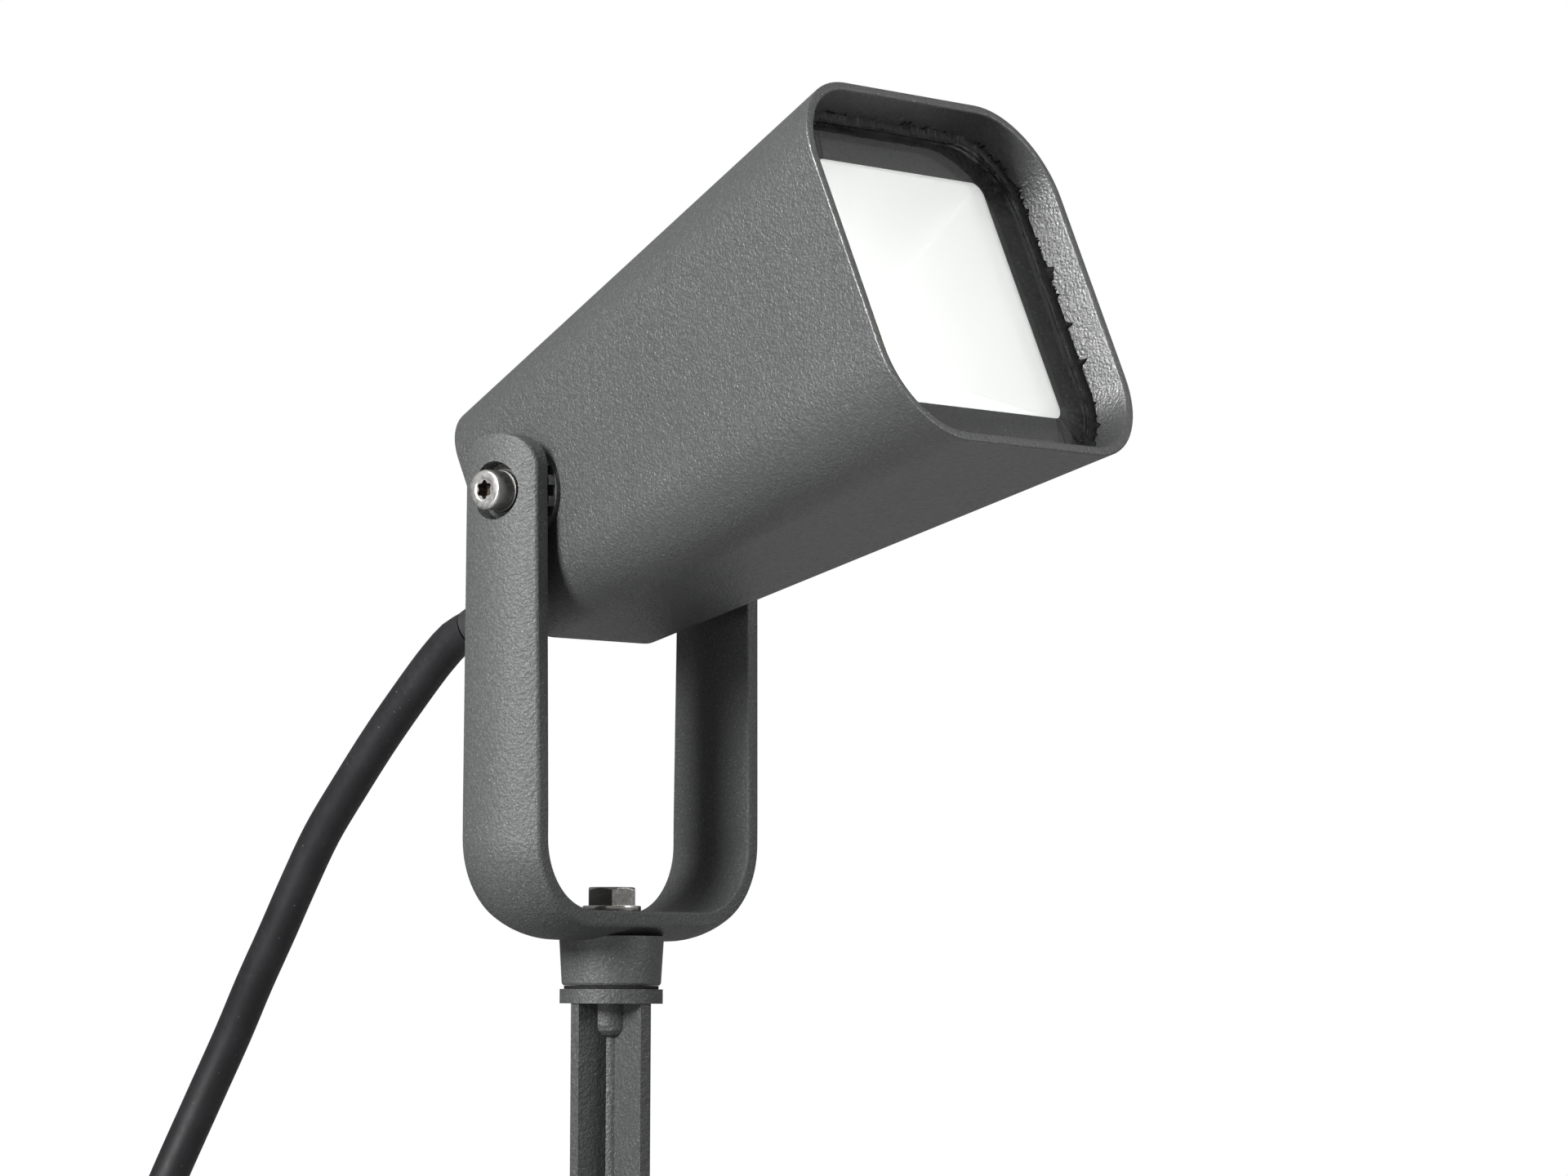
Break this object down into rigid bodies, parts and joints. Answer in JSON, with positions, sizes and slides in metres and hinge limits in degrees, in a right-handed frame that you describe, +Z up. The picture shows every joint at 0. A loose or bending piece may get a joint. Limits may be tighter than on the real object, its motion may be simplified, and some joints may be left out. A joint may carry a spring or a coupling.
{
  "type": "garden spike spotlight",
  "caption": "Outdoor LED spotlight on a ground stake: a square tapered head with a short hood tilts in a rounded U-bracket that swivels on a cross-ribbed spike; mains lead with plug.",
  "frame": {"origin": "the stake's tip, on its axis", "axes": "+Z up along the stake, X along the tilt axis, and the beam leaves towards -Y and up"},
  "size_m": [0.1435, 0.3106, 0.4102],
  "materials": {
    "housing_coat": "fine-textured anthracite powder coat",
    "bracket_coat": "fine-textured anthracite powder coat",
    "stake_coat": "anthracite powder coat over a cast surface",
    "stainless": "satin stainless steel",
    "brass": "machined brass",
    "rubber": "matt black rubber",
    "clear_glass": "clear toughened glass",
    "black_print": "black ceramic print",
    "black_silicone": "black silicone bead",
    "white_plastic": "white satin reflector plastic",
    "led_ceramic": "white ceramic board",
    "phosphor": "yellow phosphor",
    "thermal_pad": "soft grey-blue pad",
    "bare_aluminium": "mill-finish aluminium",
    "driver_plastic": "off-white moulded plastic",
    "tinned_copper": "tinned copper",
    "gland_plastic": "black moulded nylon",
    "cable_rubber": "matt black rubber sheath",
    "tie_strap": "woven hook-and-loop strap",
    "plug_rubber": "matt black moulded rubber",
    "nickel_plate": "nickel-plated brass"
  },
  "bodies": {
    "stake": {"ground_stake": "stake_coat", "stake_insert": "brass", "pan_bolt": "stainless", "pan_bolt_washer": "stainless", "friction_washer": "rubber"},
    "bracket": {"u_bracket": "bracket_coat", "swivel_collar": "bracket_coat", "mains_lead": "cable_rubber", "lead_coil": "cable_rubber", "coil_tie": "tie_strap", "lead_tail": "cable_rubber", "plug_body": "plug_rubber", "plug_boot": "plug_rubber", "plug_pins": "nickel_plate", "plug_earth_strips": "nickel_plate"},
    "head": {"lamp_housing": "housing_coat", "front_glass": "clear_glass", "glass_border": "black_print", "glass_seal": "black_silicone", "reflector": "white_plastic", "led_board": "led_ceramic", "led_emitter": "phosphor", "led_screws": "stainless", "thermal_pad": "thermal_pad", "mounting_plate": "bare_aluminium", "plate_screws": "stainless", "driver_case": "driver_plastic", "driver_strap": "stainless", "terminal_block": "driver_plastic", "earth_screw": "brass", "earth_ring_tag": "tinned_copper", "tilt_disc_left": "housing_coat", "tilt_disc_right": "housing_coat", "tilt_screws": "stainless", "tilt_flat_washers": "stainless", "tilt_spring_washers": "stainless", "gland_body": "gland_plastic", "gland_seal": "rubber", "gland_nut": "gland_plastic", "gland_locknut": "gland_plastic", "gland_sleeve": "rubber"}
  },
  "joints": [
    {"name": "pan", "type": "hinge", "parent": "stake", "child": "bracket", "pos_m": [0, 0, 0.2238], "axis": [0, 0, 1], "range_deg": [-175, 175]},
    {"name": "tilt", "type": "hinge", "parent": "bracket", "child": "head", "pos_m": [0, 0, 0.3281], "axis": [-1, 0, 0], "range_deg": [-50, 65], "deforming": ["mains_lead"]}
  ]
}
